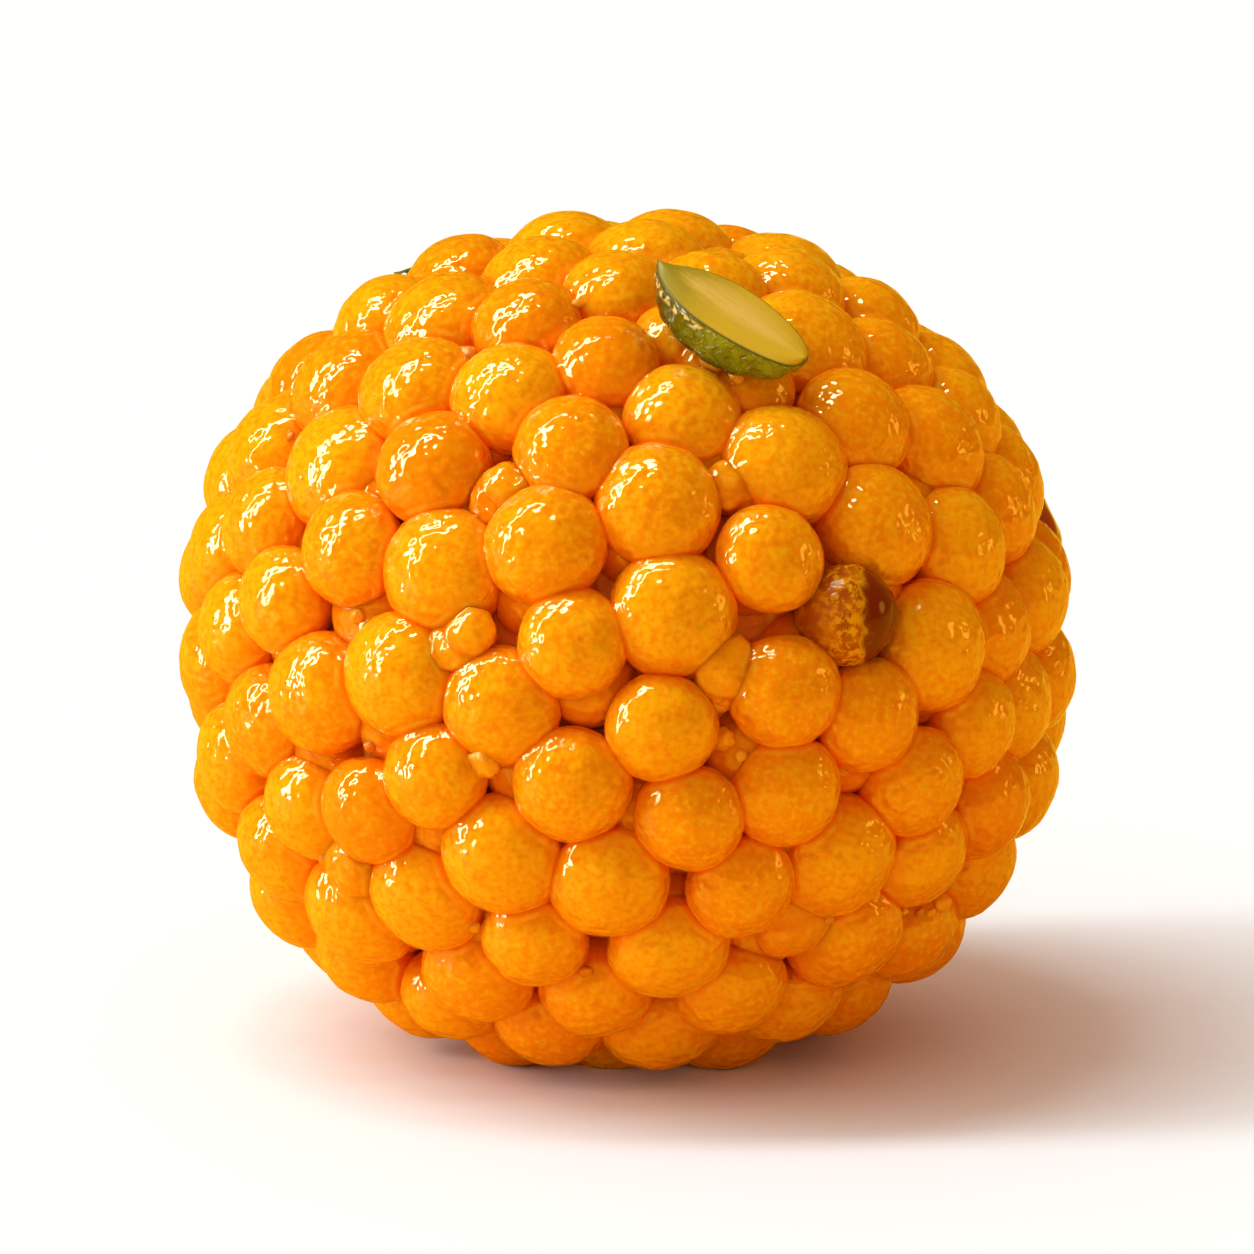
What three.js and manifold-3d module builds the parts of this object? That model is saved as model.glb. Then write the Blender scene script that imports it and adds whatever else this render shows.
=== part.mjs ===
// A motichoor ladoo: fried gram-flour pearls (boondi), soaked in syrup and pressed by hand into one
// ball, with two halved pistachios and two raisins pressed into its skin.
//
// Units are millimetres and +Z is up. The origin is the middle of the flat foot that the ball rests
// on, and -Y is the front, where the first pistachio half and the amber raisin show.
//
// The ball is one solid: a core with the outer pearls fused on. Seen from the ball's centre every ray
// leaves that solid once, so its skin is a distance for each direction, and each pearl gets a cell of
// that skin with rings of vertices on its own round surface.

import * as THREE from "three";
import { ConvexHull } from "three/addons/math/ConvexHull.js";
import { mergeVertices } from "three/addons/utils/BufferGeometryUtils.js";
import Module from "manifold-3d";

// ---- Driving dimensions ----

const BALL_WIDTH = 50;
const BALL_HEIGHT = 47.6; // before the foot is pressed flat
const SHOULDER_SQUARENESS = 2.1; // 2 would be an ellipse, and more is fuller
const HIP_SQUARENESS = 2.3; // the same below the middle, where the ball has settled
const FOOT_FLAT = 1.2; // what the foot loses where it rests
const CENTRE_Z = BALL_HEIGHT / 2 - FOOT_FLAT;

const PEARL_COUNT = 184;
const PEARL_RADIUS_SMALLEST = 2.6;
const PEARL_RADIUS_LARGEST = 3.2;
const PEARL_SINK = 0.8; // the deepest that a whole pearl sits below the ball's outline
const FOOT_REACH = -0.85; // the pearls below this share of the ball's radius are pressed level
const PEARL_JITTER = 2; // how far a pearl starts from its place on the spiral
const PEARL_TOUCH = 1; // centre distance over the sum of the radii, where two pearls meet
const SPREAD_STEPS = 150;
const SPREAD_SHARE = 0.25; // how much of an overlap one step takes away

const GAP_SMALLEST = 0.95; // the radius of the smallest gap that a broken pearl fills
const GAP_FILL = 1.3; // such a pearl's radius over the radius of its gap
const GAP_TRIES = 1500;
const BROKEN_SINK = 1.1; // how far a broken pearl sits below the ball's outline

const CORE_DEPTH = 3.7; // how far the core lies below the ball's outline, at the bottom of a gap
const NUT_CLEARANCE = 0.3;

const PISTACHIO = { kind: "pistachio", length: 10, width: 4.85, depth: 3, proud: 1.05 };
const AMBER_RAISIN = { kind: "raisin", length: 5.7, width: 5.5, depth: 5.2, proud: 0.15 };
const RED_RAISIN = { kind: "raisin", length: 6.6, width: 4.6, depth: 4.2, proud: 0.5 };

// Each topping's place on the ball: degrees round from +X towards +Y, degrees up from the middle, its
// long axis in degrees from east towards the top, and how far it leans over, turned on that axis.
const TOPPINGS = [
  { name: "pistachio_half_front", size: PISTACHIO, around: -66.1, up: 56.5, roll: -56, lean: -7 },
  { name: "pistachio_half_back", size: PISTACHIO, around: 118, up: 38, roll: 24, lean: 8 },
  { name: "raisin_amber", size: AMBER_RAISIN, around: -57.2, up: 14, roll: 10, lean: 0 },
  { name: "raisin_red", size: RED_RAISIN, around: 17, up: 11, roll: 55, lean: 0 },
];

// The broken pearls that catch the eye at the front. The others fill whatever gaps are left.
const BROKEN_PEARLS = [
  { around: -72.3, up: 32.2, radius: 1.45 },
  { around: -77.5, up: 7.3, radius: 1.6 },
  { around: -113.2, up: 12, radius: 1.4 },
];

const COLOURS = { pearl: 0xf29a0c, pistachio: 0x9aa02c, raisin_amber: 0x8a3410, raisin_red: 0xa5121a };

// ---- The ball's outline, and random numbers that are the same on every run ----

/** The distance from the ball's centre to its outline, in a direction. */
function outlineRadius(direction) {
  const squareness = direction.z > 0 ? SHOULDER_SQUARENESS : HIP_SQUARENESS;
  const across = Math.hypot(direction.x, direction.y) / (BALL_WIDTH / 2);
  const up = Math.abs(direction.z) / (BALL_HEIGHT / 2);
  return Math.pow(Math.pow(across, squareness) + Math.pow(up, squareness), -1 / squareness);
}

const RANDOM_MULTIPLIER = 16807;
const RANDOM_MODULUS = 2147483647;
let randomState = 4;

function random(low, high) {
  randomState = (randomState * RANDOM_MULTIPLIER) % RANDOM_MODULUS;
  return low + ((high - low) * randomState) / RANDOM_MODULUS;
}

/** Point number index of count on a spiral that spreads them evenly over the unit sphere. */
function spiralDirection(index, count) {
  const goldenTurn = Math.PI * (3 - Math.sqrt(5));
  const z = 1 - (2 * index + 1) / count;
  const across = Math.sqrt(1 - z * z);
  return new THREE.Vector3(across * Math.cos(goldenTurn * index), across * Math.sin(goldenTurn * index), z);
}

// ---- The pearls ----

/** A pearl that touches the outline, or lies sink below it. */
function pearl(direction, radius, sink, fixed = false) {
  return { direction, radius, sink, fixed };
}

/** The direction that lies so many degrees round from +X towards +Y, and up from the middle. */
function directionAt({ around, up }) {
  const [a, u] = [THREE.MathUtils.degToRad(around), THREE.MathUtils.degToRad(up)];
  return new THREE.Vector3(Math.cos(u) * Math.cos(a), Math.cos(u) * Math.sin(a), Math.sin(u));
}

/** A topping's own frame on the ball: x along it, y across it and z straight out. */
function toppingFrame({ around, up, roll, lean, size }) {
  const out = directionAt({ around, up });
  const east = new THREE.Vector3(-out.y, out.x, 0).normalize();
  const north = new THREE.Vector3().crossVectors(out, east);
  return new THREE.Matrix4()
    .makeBasis(east, north, out)
    .multiply(new THREE.Matrix4().makeRotationZ(THREE.MathUtils.degToRad(roll)))
    .multiply(new THREE.Matrix4().makeRotationX(THREE.MathUtils.degToRad(lean)))
    .setPosition(out.clone().multiplyScalar(outlineRadius(out) + size.proud));
}

/** The sunk pearls that a topping is pressed into. They stay where they are while the others spread. */
function seatPearls(topping) {
  const frame = toppingFrame(topping);
  const { kind, length, width, depth, proud } = topping.size;
  const places = kind === "pistachio" ? [-0.3, 0, 0.3] : [0];
  return places.map((share) => {
    const direction = new THREE.Vector3(share * length, 0, 0).applyMatrix4(frame).normalize();
    return pearl(direction, width / 2, depth - proud - NUT_CLEARANCE, true);
  });
}

/** Pushes pearls apart where they overlap, and keeps each one on the shell that its size allows. */
function spreadPearls(pearls) {
  for (let step = 0; step < SPREAD_STEPS; step++) {
    const centres = pearls.map(({ direction, radius }) =>
      direction.clone().multiplyScalar(outlineRadius(direction) - radius),
    );
    pearls.forEach((moving, i) => {
      if (moving.fixed) return;
      const push = new THREE.Vector3();
      centres.forEach((other, j) => {
        const apart = centres[i].clone().sub(other);
        const overlap = (moving.radius + pearls[j].radius) * PEARL_TOUCH - apart.length();
        if (j !== i && overlap > 0) push.addScaledVector(apart.normalize(), overlap * SPREAD_SHARE);
      });
      moving.direction.copy(centres[i]).add(push).normalize();
    });
  }
}

/** Fills the gaps between the pearls with broken ones, the widest gap first. */
function fillGaps(pearls) {
  const middling = (PEARL_RADIUS_SMALLEST + PEARL_RADIUS_LARGEST) / 2;
  const onShell = (direction) => direction.clone().multiplyScalar(outlineRadius(direction) - middling);
  const tries = Array.from({ length: GAP_TRIES }, (_, i) => spiralDirection(i, GAP_TRIES));
  const places = tries.map(onShell);
  const room = places.map(() => Infinity);
  const takeRoom = ({ direction, radius }) => {
    const centre = onShell(direction);
    places.forEach((place, i) => (room[i] = Math.min(room[i], place.distanceTo(centre) - radius)));
  };
  pearls.forEach(takeRoom);
  for (let widest = Math.max(...room); widest >= GAP_SMALLEST; widest = Math.max(...room)) {
    const broken = pearl(tries[room.indexOf(widest)], widest * GAP_FILL, BROKEN_SINK);
    pearls.push(broken);
    takeRoom(broken);
  }
}

function makePearls() {
  const pearls = TOPPINGS.flatMap(seatPearls);
  pearls.push(pearl(new THREE.Vector3(0, 0, -1), PEARL_RADIUS_LARGEST, 0, true)); // the one it rests on
  for (const broken of BROKEN_PEARLS) {
    pearls.push(pearl(directionAt(broken), broken.radius, BROKEN_SINK, true));
  }
  const shell = BALL_WIDTH / 2 - PEARL_RADIUS_LARGEST;
  for (let i = 0; i < PEARL_COUNT; i++) {
    const jitter = new THREE.Vector3(random(-1, 1), random(-1, 1), random(-1, 1));
    const direction = spiralDirection(i, PEARL_COUNT).addScaledVector(jitter, PEARL_JITTER / shell);
    const radius = random(PEARL_RADIUS_SMALLEST, PEARL_RADIUS_LARGEST);
    const sink = random(0, 1) * random(0, PEARL_SINK);
    pearls.push(pearl(direction.normalize(), radius, direction.z < FOOT_REACH ? 0 : sink));
  }
  spreadPearls(pearls);
  fillGaps(pearls);
  for (const p of pearls) {
    p.centre = p.direction.clone().multiplyScalar(outlineRadius(p.direction) - p.radius - p.sink);
  }
  return pearls;
}

// ---- The skin over the pearls ----

/** How far a direction goes before it leaves the last pearl, or the core where it meets none. */
function skinRadius(direction, pearls) {
  let radius = outlineRadius(direction) - CORE_DEPTH;
  for (const p of pearls) {
    const along = direction.dot(p.centre);
    const square = along * along - p.centre.lengthSq() + p.radius * p.radius;
    if (square > 0) radius = Math.max(radius, along + Math.sqrt(square));
  }
  return radius;
}

/** Where the skins of two neighbouring pearls meet, between their centres. */
function meetingPoint(a, b) {
  const apart = b.centre.distanceTo(a.centre);
  const share = (apart * apart + a.radius * a.radius - b.radius * b.radius) / (2 * apart * apart);
  return a.centre.clone().lerp(b.centre, THREE.MathUtils.clamp(share, 0.25, 0.75));
}

/** The middle of the gap between three pearls, as far from each one's skin as from the others'. */
function gapPoint(a, b, c) {
  const [ab, ac] = [b.centre.clone().sub(a.centre), c.centre.clone().sub(a.centre)];
  const [bb, cc, bc] = [ab.lengthSq(), ac.lengthSq(), ab.dot(ac)];
  const toB = (bb + a.radius ** 2 - b.radius ** 2) / 2;
  const toC = (cc + a.radius ** 2 - c.radius ** 2) / 2;
  const area = bb * cc - bc * bc;
  const shareB = (toB * cc - toC * bc) / area;
  const shareC = (toC * bb - toB * bc) / area;
  const shares = [1 - shareB - shareC, shareB, shareC].map((share) => Math.max(share, 0.15));
  const total = shares[0] + shares[1] + shares[2];
  return a.centre
    .clone()
    .multiplyScalar(shares[0] / total)
    .addScaledVector(b.centre, shares[1] / total)
    .addScaledVector(c.centre, shares[2] / total);
}

/** For each pearl, its neighbours in order round it, from the hull of the pearls' directions. */
function neighbourRings(pearls) {
  const points = pearls.map((p) => p.direction);
  const indexOf = new Map(points.map((point, i) => [point, i]));
  const next = pearls.map(() => new Map());
  for (const face of new ConvexHull().setFromPoints(points).faces) {
    const [a, b, c] = [0, 1, 2].map((i) => indexOf.get(face.getEdge(i).head().point));
    next[a].set(b, c);
    next[b].set(c, a);
    next[c].set(a, b);
  }
  return next.map((after) => {
    const ring = [Math.min(...after.keys())];
    while (ring.length < after.size) ring.push(after.get(ring[ring.length - 1]));
    return ring;
  });
}

const RING_ANGLES = [30, 60]; // the rings of vertices on a pearl, in degrees from its top
const RING_REACH = [0.5, 0.88]; // the most of the way to the cell's edge that each ring goes

/** The closed skin of the ball, as positions and triangles. */
function ballSkin(pearls) {
  const positions = [];
  const triangles = [];
  const shared = new Map();

  const vertexToward = (point) => {
    const direction = point.clone().normalize();
    direction.multiplyScalar(skinRadius(direction, pearls));
    return positions.push(direction.x, direction.y, direction.z) / 3 - 1;
  };
  const sharedVertex = (indices, pointOf) => {
    const order = [...indices].sort((a, b) => a - b);
    const key = order.join();
    if (!shared.has(key)) shared.set(key, vertexToward(pointOf(...order.map((i) => pearls[i]))));
    return shared.get(key);
  };
  const ringVertex = (p, edge, ring) => {
    const angle = THREE.MathUtils.degToRad(RING_ANGLES[ring]);
    const reach = Math.atan2(p.radius * Math.sin(angle), p.centre.length() + p.radius * Math.cos(angle));
    const share = Math.min(reach / p.direction.angleTo(edge), RING_REACH[ring]);
    return vertexToward(p.direction.clone().lerp(edge, share));
  };

  neighbourRings(pearls).forEach((ring, i) => {
    const p = pearls[i];
    const loop = ring.flatMap((j, n) => [
      sharedVertex([i, j], meetingPoint),
      sharedVertex([i, j, ring[(n + 1) % ring.length]], gapPoint),
    ]);
    const edges = loop.map((v) => new THREE.Vector3().fromArray(positions, v * 3).normalize());
    const outer = edges.map((edge) => ringVertex(p, edge, 1));
    const inner = edges.filter((_, n) => n % 2 === 0).map((edge) => ringVertex(p, edge, 0));
    const top = vertexToward(p.direction);
    inner.forEach((v, n) => {
      const after = inner[(n + 1) % inner.length];
      const [meet, gap, nextMeet] = [outer[2 * n], outer[2 * n + 1], outer[(2 * n + 2) % outer.length]];
      triangles.push(top, v, after, v, meet, gap, v, gap, after, after, gap, nextMeet);
    });
    loop.forEach((v, n) => {
      const m = (n + 1) % loop.length;
      triangles.push(outer[n], v, loop[m], outer[n], loop[m], outer[m]);
    });
  });
  return { positions: new Float32Array(positions), triangles: new Uint32Array(triangles) };
}

// ---- The toppings, each with its top at z = 0 and grown by swell all round ----

/** Half a pistachio kernel: an oval with pointed ends, a nearly flat cut face and a round back. */
function pistachioGeometry({ length, width, depth }, swell = 0) {
  const cutCrown = 0.35;
  const endSharpness = 0.12;
  const geometry = new THREE.SphereGeometry(1, 14, 9).rotateZ(Math.PI / 2);
  const position = geometry.getAttribute("position");
  for (let i = 0; i < position.count; i++) {
    const [x, y, z] = [position.getX(i), position.getY(i), position.getZ(i)];
    const taper = Math.pow(Math.max(1 - x * x, 0), endSharpness);
    const halfDepth = z > 0 ? cutCrown : depth - cutCrown;
    const point = [x * (length / 2 + swell), y * taper * (width / 2 + swell), z * (halfDepth + swell)];
    position.setXYZ(i, point[0], point[1], point[2] - cutCrown);
  }
  return geometry;
}

/** A plump raisin. */
function raisinGeometry({ length, width, depth }, swell = 0) {
  return new THREE.SphereGeometry(1, 12, 8)
    .scale(length / 2 + swell, width / 2 + swell, depth / 2 + swell)
    .translate(0, 0, -depth / 2);
}

const GEOMETRY_OF = { pistachio: pistachioGeometry, raisin: raisinGeometry };

// ---- Solids ----

const wasm = await Module();
wasm.setup();

function solidFrom(positions, triangles) {
  return new wasm.Manifold(new wasm.Mesh({ numProp: 3, vertProperties: positions, triVerts: triangles }));
}

/** A geometry as a solid, after its doubled vertices are merged. */
function solidOf(geometry) {
  const bare = geometry.clone();
  bare.deleteAttribute("normal");
  bare.deleteAttribute("uv");
  const merged = mergeVertices(bare, 1e-4);
  return solidFrom(merged.getAttribute("position").array, new Uint32Array(merged.index.array));
}

function geometryOf(solid) {
  const { vertProperties, triVerts } = solid.getMesh();
  const geometry = new THREE.BufferGeometry();
  geometry.setAttribute("position", new THREE.BufferAttribute(vertProperties, 3));
  geometry.setIndex(new THREE.BufferAttribute(triVerts, 1));
  geometry.computeVertexNormals();
  return geometry;
}

/** The ball: its skin, less the foot that is pressed flat and a pocket for each topping. */
function ballGeometry() {
  const { positions, triangles } = ballSkin(makePearls());
  const below = new THREE.BoxGeometry(2 * BALL_WIDTH, 2 * BALL_WIDTH, BALL_WIDTH);
  below.translate(0, 0, -CENTRE_Z - BALL_WIDTH / 2);
  let ball = solidFrom(positions, triangles).subtract(solidOf(below));
  for (const topping of TOPPINGS) {
    const pocket = GEOMETRY_OF[topping.size.kind](topping.size, NUT_CLEARANCE);
    ball = ball.subtract(solidOf(pocket.applyMatrix4(toppingFrame(topping))));
  }
  return geometryOf(ball);
}

// ---- The object ----

function named(name, geometry, color, roughness) {
  const mesh = new THREE.Mesh(geometry, new THREE.MeshStandardMaterial({ color, roughness, metalness: 0 }));
  mesh.name = name;
  return mesh;
}

const ladoo = new THREE.Group();
ladoo.position.z = CENTRE_Z;
ladoo.add(named("ladoo_ball", ballGeometry(), COLOURS.pearl, 0.25));
for (const topping of TOPPINGS) {
  const place = new THREE.Group();
  place.applyMatrix4(toppingFrame(topping));
  const colour = COLOURS[topping.size.kind] ?? COLOURS[topping.name];
  place.add(named(topping.name, GEOMETRY_OF[topping.size.kind](topping.size), colour, 0.35));
  ladoo.add(place);
}

export default ladoo;
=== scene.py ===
# %% [markdown]
# # A motichoor ladoo
# Boondi are drops of gram-flour batter, fried into round pearls and soaked in saffron syrup. A sweet
# maker presses a handful of them into a ball with a few pistachio halves and raisins, and lets it set.
# The solids hold the ball's size, where it rests, and a place for every pearl and nut. This notebook
# loads them, puts the real pearls, syrup, crumbs, nuts and raisins in their place, and lights them.

# %% Load the solids
import math

import bmesh
import bpy
import numpy as np
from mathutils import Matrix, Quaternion, Vector, noise


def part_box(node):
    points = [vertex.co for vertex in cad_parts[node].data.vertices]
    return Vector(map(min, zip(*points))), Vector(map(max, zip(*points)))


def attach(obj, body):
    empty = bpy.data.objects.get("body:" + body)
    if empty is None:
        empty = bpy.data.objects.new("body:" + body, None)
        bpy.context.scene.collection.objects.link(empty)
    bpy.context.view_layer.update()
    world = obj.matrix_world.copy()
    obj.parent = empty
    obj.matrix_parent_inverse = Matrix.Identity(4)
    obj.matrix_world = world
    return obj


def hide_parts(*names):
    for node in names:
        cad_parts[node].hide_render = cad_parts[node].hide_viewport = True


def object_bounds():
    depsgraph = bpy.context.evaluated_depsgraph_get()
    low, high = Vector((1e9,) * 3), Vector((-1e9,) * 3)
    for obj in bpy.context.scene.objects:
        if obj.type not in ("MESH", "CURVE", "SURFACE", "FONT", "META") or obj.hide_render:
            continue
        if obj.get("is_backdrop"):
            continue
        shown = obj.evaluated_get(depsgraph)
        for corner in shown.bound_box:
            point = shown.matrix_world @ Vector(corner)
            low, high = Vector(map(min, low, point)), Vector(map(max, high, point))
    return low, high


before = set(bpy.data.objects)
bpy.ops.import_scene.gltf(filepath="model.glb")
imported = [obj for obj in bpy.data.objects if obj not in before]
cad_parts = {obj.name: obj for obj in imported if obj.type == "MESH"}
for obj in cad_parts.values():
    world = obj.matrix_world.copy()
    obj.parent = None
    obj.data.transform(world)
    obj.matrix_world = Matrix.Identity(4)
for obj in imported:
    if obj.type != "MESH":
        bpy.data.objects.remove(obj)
cad_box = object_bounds()
BODY = "root"
MM = 0.001  # sizes are in millimetres round the ball's centre, until a mesh is made of them
print("solids:", sorted(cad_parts))
print("box:", [[round(value / MM, 2) for value in corner] for corner in cad_box])

# %% [markdown]
# ## The ball's outline
# A ball pressed by hand is a little wider than it is high and fuller at the hips than at the shoulders,
# because it settles while it is warm. A superellipse gives that with one number for each half: its
# squareness, which is 2 for an ellipse. All the pearls touch this outline or lie a little under it, so
# it is a function of direction, the same one that shaped the solids.

# %% The outline
BALL_WIDTH = 50
BALL_HEIGHT = 47.6
SHOULDER_SQUARENESS = 2.1
HIP_SQUARENESS = 2.3
FOOT_FLAT = 1.2
CENTRE_Z = BALL_HEIGHT / 2 - FOOT_FLAT


def outline_radius(directions):
    """How far the outline is from the ball's centre, for an array of directions."""
    squareness = np.where(directions[..., 2] > 0, SHOULDER_SQUARENESS, HIP_SQUARENESS)
    across = np.hypot(directions[..., 0], directions[..., 1]) / (BALL_WIDTH / 2)
    up = np.abs(directions[..., 2]) / (BALL_HEIGHT / 2)
    return (across**squareness + up**squareness) ** (-1 / squareness)


print("outline from", CENTRE_Z - BALL_HEIGHT / 2, "to", CENTRE_Z + BALL_HEIGHT / 2, "mm")

# %% Directions
def unit(vectors):
    """The same vectors with a length of 1."""
    return vectors / np.linalg.norm(vectors, axis=-1, keepdims=True)


def direction_at(around, up):
    """The direction so many degrees round from +X towards +Y, and so many up from the middle."""
    around, up = np.radians(around), np.radians(up)
    return np.array([np.cos(up) * np.cos(around), np.cos(up) * np.sin(around), np.sin(up)])


def spiral_directions(count):
    """Directions spread evenly over the sphere, on a spiral with golden-angle turns."""
    index = np.arange(count)
    z = 1 - (2 * index + 1) / count
    across = np.sqrt(1 - z * z)
    turn = math.pi * (3 - math.sqrt(5)) * index
    return np.stack([across * np.cos(turn), across * np.sin(turn), z], axis=1)


print("the ball's front is the direction", direction_at(-90, 0).round(3))

# %% [markdown]
# ## Where the nuts and raisins sit
# Each topping has a frame of its own: x along it, y across it and z out of the ball, with its top at
# z = 0. It is turned by its roll and tipped sideways by its lean. Modelling in that frame and moving the
# finished points once keeps every shape simple.

# %% The toppings' places
PISTACHIO = {"length": 10, "width": 4.85, "depth": 3, "proud": 1.05}
AMBER_RAISIN = {"length": 5.7, "width": 5.5, "depth": 5.2, "proud": 0.15}
RED_RAISIN = {"length": 6.6, "width": 4.6, "depth": 4.2, "proud": 0.5}
NUT_CLEARANCE = 0.3
TOPPINGS = {
    "pistachio_half_front": {"size": PISTACHIO, "around": -66.1, "up": 56.5, "roll": -56, "lean": -7},
    "pistachio_half_back": {"size": PISTACHIO, "around": 118, "up": 38, "roll": 24, "lean": 8},
    "raisin_amber": {"size": AMBER_RAISIN, "around": -57.2, "up": 14, "roll": 10, "lean": 0},
    "raisin_red": {"size": RED_RAISIN, "around": 17, "up": 11, "roll": 55, "lean": 0},
}


def topping_place(name):
    """A topping's axes, as the rows of a matrix, and its origin."""
    topping = TOPPINGS[name]
    out = direction_at(topping["around"], topping["up"])
    east = unit(np.array([-out[1], out[0], 0]))
    north = np.cross(out, east)
    roll, lean = math.radians(topping["roll"]), math.radians(topping["lean"])
    along = east * math.cos(roll) + north * math.sin(roll)
    level = north * math.cos(roll) - east * math.sin(roll)
    across = level * math.cos(lean) + out * math.sin(lean)
    top = out * math.cos(lean) - level * math.sin(lean)
    return np.array([along, across, top]), out * (outline_radius(out) + topping["size"]["proud"])


def on_ball(name, points):
    """Points in a topping's frame, moved to their place on the ball."""
    axes, origin = topping_place(name)
    return points @ axes + origin


for name in TOPPINGS:
    low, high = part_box(name)
    gap = (on_ball(name, np.zeros(3)) + [0, 0, CENTRE_Z]) * MM - np.array((low + high) / 2)
    print(f"{name}: its top is {np.linalg.norm(gap) / MM:.2f} mm from the middle of its solid's box")

# %% [markdown]
# ## Where the pearls sit
# Pearls in a pressed ball are packed, but not in rows. The rule is the one the solids follow: start from
# an even spiral, shake each pearl a little, then push overlapping pearls apart until they only touch.
# Broken pearls fill the gaps that stay too wide. The random numbers come from a generator simple enough
# to give the same numbers in any language, which is why the pearls land where the solids have them.

# %% Random numbers
class Dice:
    """Random numbers by Park and Miller's rule: each one is a multiple of the last, less whole turns."""

    def __init__(self, seed):
        self.state = seed

    def roll(self, low=0.0, high=1.0):
        self.state = self.state * 16807 % 2147483647
        return low + (high - low) * self.state / 2147483647

    def rolls(self, count, low=0.0, high=1.0):
        return np.array([self.roll(low, high) for _ in range(count)])


print("a seed of 4 starts with", Dice(4).rolls(3).round(4))

# %% Push pearls apart
SPREAD_STEPS = 150
SPREAD_SHARE = 0.25  # how much of an overlap one step pushes away


def spread(directions, radii, fixed, inset=0.0):
    """Pushes balls that overlap apart along a shell, so that they touch or stay clear."""
    directions = directions.copy()
    sums = radii[:, None] + radii[None]
    for _ in range(SPREAD_STEPS):
        centres = directions * (outline_radius(directions) - radii - inset)[:, None]
        apart = centres[:, None] - centres[None]
        distance = np.linalg.norm(apart, axis=2)
        np.fill_diagonal(distance, np.inf)
        overlap = np.maximum(sums - distance, 0)
        np.fill_diagonal(distance, 1)
        push = (apart * (overlap * SPREAD_SHARE / distance)[..., None]).sum(axis=1)
        directions[~fixed] = unit(centres + push)[~fixed]
    return directions


print("pearls are pushed apart in", SPREAD_STEPS, "steps")

# %% Find the wide gaps
PEARL_RADIUS_SMALLEST = 2.6
PEARL_RADIUS_LARGEST = 3.2
GAP_SMALLEST = 0.95  # the radius of the narrowest gap that is filled
GAP_FILL = 1.3  # how much larger than its gap a broken pearl is
GAP_TRIES = 1500


def gap_fillers(directions, radii):
    """The direction and radius of a broken pearl for each wide gap, the widest gap first."""
    middling = (PEARL_RADIUS_SMALLEST + PEARL_RADIUS_LARGEST) / 2
    tries = spiral_directions(GAP_TRIES)
    places = tries * (outline_radius(tries) - middling)[:, None]
    shell = directions * (outline_radius(directions) - middling)[:, None]
    room = (np.linalg.norm(places[:, None] - shell[None], axis=2) - radii[None]).min(axis=1)
    made = []
    while room.max() >= GAP_SMALLEST:
        widest = int(np.argmax(room))
        radius = room[widest] * GAP_FILL
        made.append((tries[widest], radius))
        room = np.minimum(room, np.linalg.norm(places - places[widest], axis=1) - radius)
    return made


print("gaps with a radius of", GAP_SMALLEST, "mm or more get a broken pearl")

# %% The pearls
PEARL_COUNT = 184
PEARL_SINK = 0.8
FOOT_REACH = -0.85
PEARL_JITTER = 2  # how far a pearl is shaken out of its even place
BROKEN_SINK = 1.1
BROKEN_PEARLS = [(-72.3, 32.2, 1.45), (-77.5, 7.3, 1.6), (-113.2, 12, 1.4)]  # degrees round and up, radius
SEAT_SHARES = (-0.3, 0, 0.3)  # where along a nut the pearls under it stay away


def make_pearls():
    """Every outer pearl's direction, radius, sink and kind."""
    rows = []
    for name, topping in TOPPINGS.items():
        size = topping["size"]
        for share in SEAT_SHARES if size is PISTACHIO else (0,):
            seat = unit(on_ball(name, np.array([share * size["length"], 0, 0])))
            rows.append((seat, size["width"] / 2, size["depth"] - size["proud"] - NUT_CLEARANCE, "seat"))
    rows.append((np.array([0, 0, -1.0]), PEARL_RADIUS_LARGEST, 0, "foot"))
    for around, up, radius in BROKEN_PEARLS:
        rows.append((direction_at(around, up), radius, BROKEN_SINK, "broken"))
    dice = Dice(4)
    shell = BALL_WIDTH / 2 - PEARL_RADIUS_LARGEST
    for direction in spiral_directions(PEARL_COUNT):
        direction = unit(direction + dice.rolls(3, -1, 1) * PEARL_JITTER / shell)
        radius = dice.roll(PEARL_RADIUS_SMALLEST, PEARL_RADIUS_LARGEST)
        sink = dice.roll() * dice.roll(0, PEARL_SINK)
        rows.append((direction, radius, 0 if direction[2] < FOOT_REACH else sink, "whole"))
    directions, radii, sinks, kinds = (np.array(column) for column in zip(*rows))
    directions = spread(directions, radii, kinds != "whole")
    for direction, radius in gap_fillers(directions, radii):
        directions = np.vstack([directions, direction])
        radii = np.append(radii, radius)
        sinks = np.append(sinks, BROKEN_SINK)
        kinds = np.append(kinds, "broken")
    return directions, radii, sinks, kinds


pearl_directions, pearl_radii, pearl_sinks, pearl_kinds = make_pearls()
pearl_centres = pearl_directions * (outline_radius(pearl_directions) - pearl_radii - pearl_sinks)[:, None]
print(len(pearl_radii), "outer pearls,", int((pearl_kinds == "broken").sum()), "of them broken")

# %% [markdown]
# A check is worth more than a promise, so this cell measures how far the corners of the solid ball lie
# from the nearest pearl. Corners between pearls lie off them by design. The rest should lie on them.

# %% Compare the pearls with the solid ball
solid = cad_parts["ladoo_ball"].data
corners = np.empty(len(solid.vertices) * 3)
solid.vertices.foreach_get("co", corners)
corners = corners.reshape(-1, 3) / MM - [0, 0, CENTRE_Z]
from_centres = np.linalg.norm(corners[:, None] - pearl_centres[None], axis=2)
off = np.abs(from_centres - pearl_radii[None]).min(axis=1)
print(f"{(off < 0.01).mean():.1%} of the solid's corners lie on a pearl")
print(f"the middle one is {np.median(off):.4f} mm off")

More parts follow.
